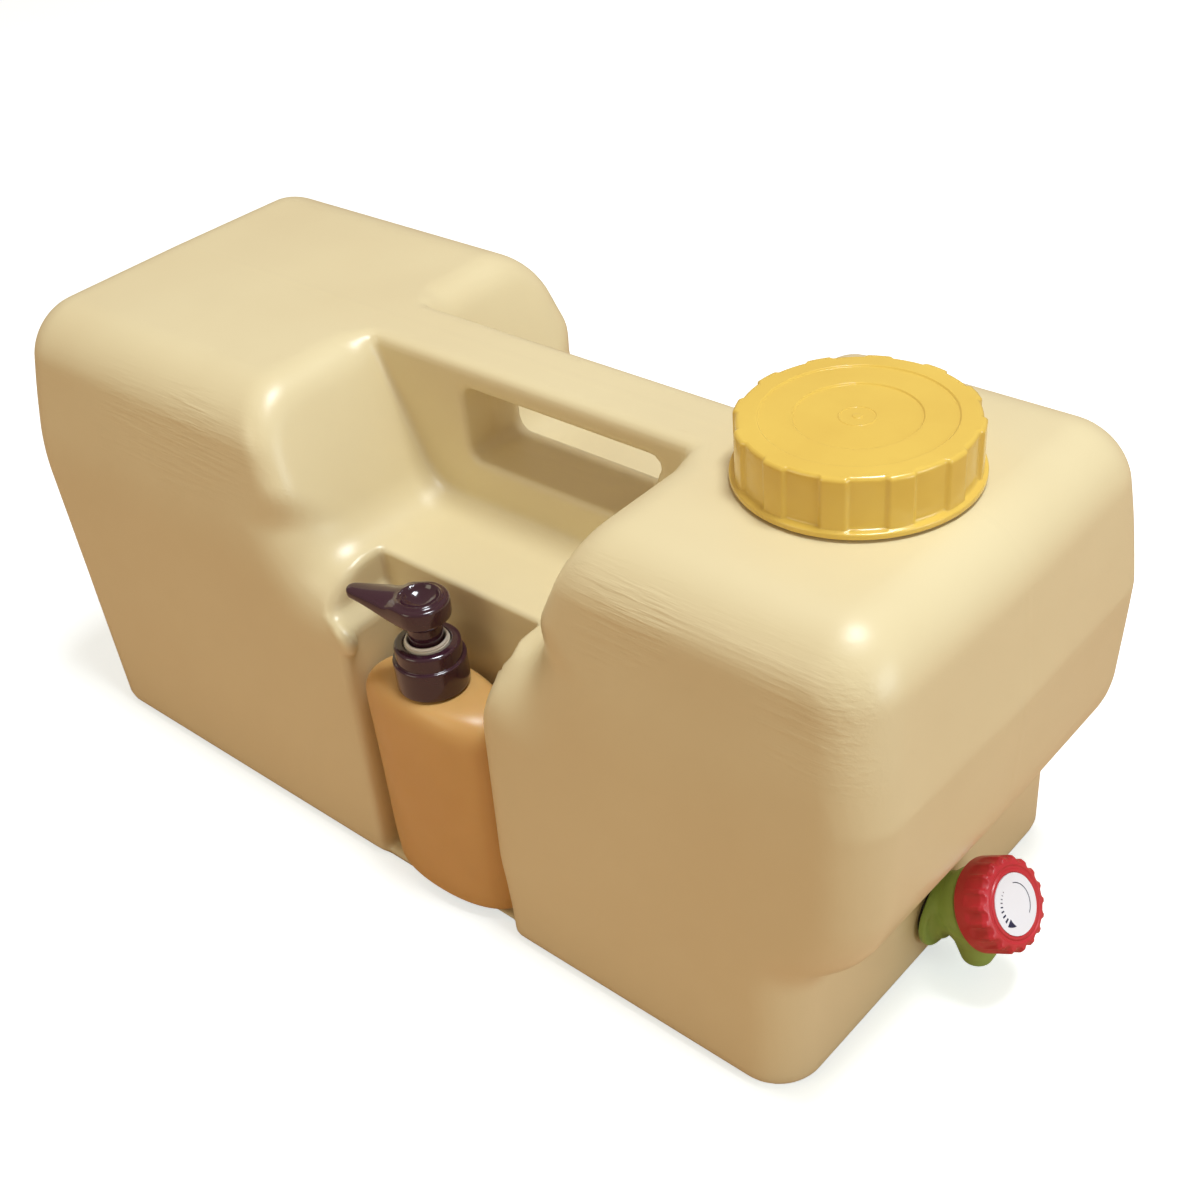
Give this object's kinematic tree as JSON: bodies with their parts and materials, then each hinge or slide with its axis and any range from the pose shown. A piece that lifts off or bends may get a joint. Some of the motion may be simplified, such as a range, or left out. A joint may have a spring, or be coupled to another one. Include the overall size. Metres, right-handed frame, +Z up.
{
  "type": "portable handwash tank",
  "caption": "Blow-moulded water tank for hand washing, with a carrying handle, a screw cap, a pump bottle of soap in a front pocket and a screw-down tap at one end.",
  "frame": {"origin": "middle of the tank's base, on the surface it stands on", "axes": "+X towards the tap, -Y the side with the soap pocket, +Z up"},
  "size_m": [0.5645, 0.234, 0.2747],
  "materials": {
    "tank_plastic": "satin, lightly grained blow-moulded polyethylene",
    "cap_plastic": "smooth moulded",
    "seal_rubber": "smooth",
    "bottle_plastic": "smooth, slightly translucent",
    "pump_plastic": "polished",
    "white_plastic": "smooth",
    "pale_seal": "soft foam",
    "natural_plastic": "natural polyethylene",
    "steel": "bright stainless",
    "tap_plastic": "moulded, satin",
    "knob_plastic": "moulded, satin",
    "label": "printed with a plain turn arrow"
  },
  "bodies": {
    "tank": {"tank": "tank_plastic", "filler_neck": "tank_plastic", "tap_body": "tap_plastic", "tap_washer": "seal_rubber", "tap_backnut": "tap_plastic", "tap_bonnet": "tap_plastic", "tap_oring": "seal_rubber"},
    "cap_seal": {"cap_gasket": "seal_rubber"},
    "cap": {"filler_cap": "cap_plastic"},
    "bottle": {"soap_bottle": "bottle_plastic", "bottle_neck": "bottle_plastic"},
    "pump": {"pump_housing": "natural_plastic", "pump_seat": "natural_plastic", "pump_gasket": "pale_seal", "pump_guide_ring": "white_plastic", "dip_tube": "natural_plastic", "pump_ball": "steel", "pump_spring": "steel"},
    "collar": {"pump_collar": "pump_plastic"},
    "plunger": {"pump_stem": "natural_plastic", "pump_piston": "natural_plastic"},
    "nozzle": {"pump_head": "pump_plastic", "pump_skirt": "pump_plastic"},
    "valve": {"tap_valve_plug": "seal_rubber"},
    "knob": {"tap_spindle": "natural_plastic", "tap_knob": "knob_plastic", "knob_label": "label", "knob_screw": "steel"}
  },
  "joints": [
    {"name": "cap_lift", "type": "slide", "parent": "tank", "child": "cap_seal", "axis": [0, 0, 1], "range_m": [0, 0.015]},
    {"name": "cap_turn", "type": "hinge", "parent": "cap_seal", "child": "cap", "pos_m": [0.193, 0, 0.26], "axis": [0, 0, 1], "range_deg": [0, 450]},
    {"name": "bottle_lift", "type": "slide", "parent": "tank", "child": "bottle", "axis": [0, 0, 1], "range_m": [0, 0.18]},
    {"name": "pump_lift", "type": "slide", "parent": "bottle", "child": "pump", "axis": [0, 0, 1], "range_m": [0, 0.01]},
    {"name": "collar_turn", "type": "hinge", "parent": "pump", "child": "collar", "pos_m": [0.0265, -0.097, 0.14], "axis": [0, 0, 1], "range_deg": [0, 900]},
    {"name": "pump_press", "type": "slide", "parent": "pump", "child": "plunger", "axis": [0, 0, -1], "range_m": [0, 0.0105], "stiffness_N_per_m": 400, "springref_m": -0.004, "deforming": ["pump_spring"]},
    {"name": "nozzle_swivel", "type": "hinge", "parent": "plunger", "child": "nozzle", "pos_m": [0.0265, -0.097, 0.17], "axis": [0, 0, 1], "range_deg": [-25, 160]},
    {"name": "valve_travel", "type": "slide", "parent": "tank", "child": "valve", "axis": [0.8434, 0, 0.5373], "range_m": [0, 0.004]},
    {"name": "knob_turn", "type": "hinge", "parent": "valve", "child": "knob", "pos_m": [0.24, 0, 0.03], "axis": [0.8434, 0, 0.5373], "range_deg": [0, 360]}
  ],
  "couplings": [
    {"joint": "cap_turn", "follows": "cap_lift", "rad_per_m": 523.6},
    {"joint": "collar_turn", "follows": "pump_lift", "rad_per_m": 1570.8},
    {"joint": "knob_turn", "follows": "valve_travel", "rad_per_m": 1570.8}
  ]
}
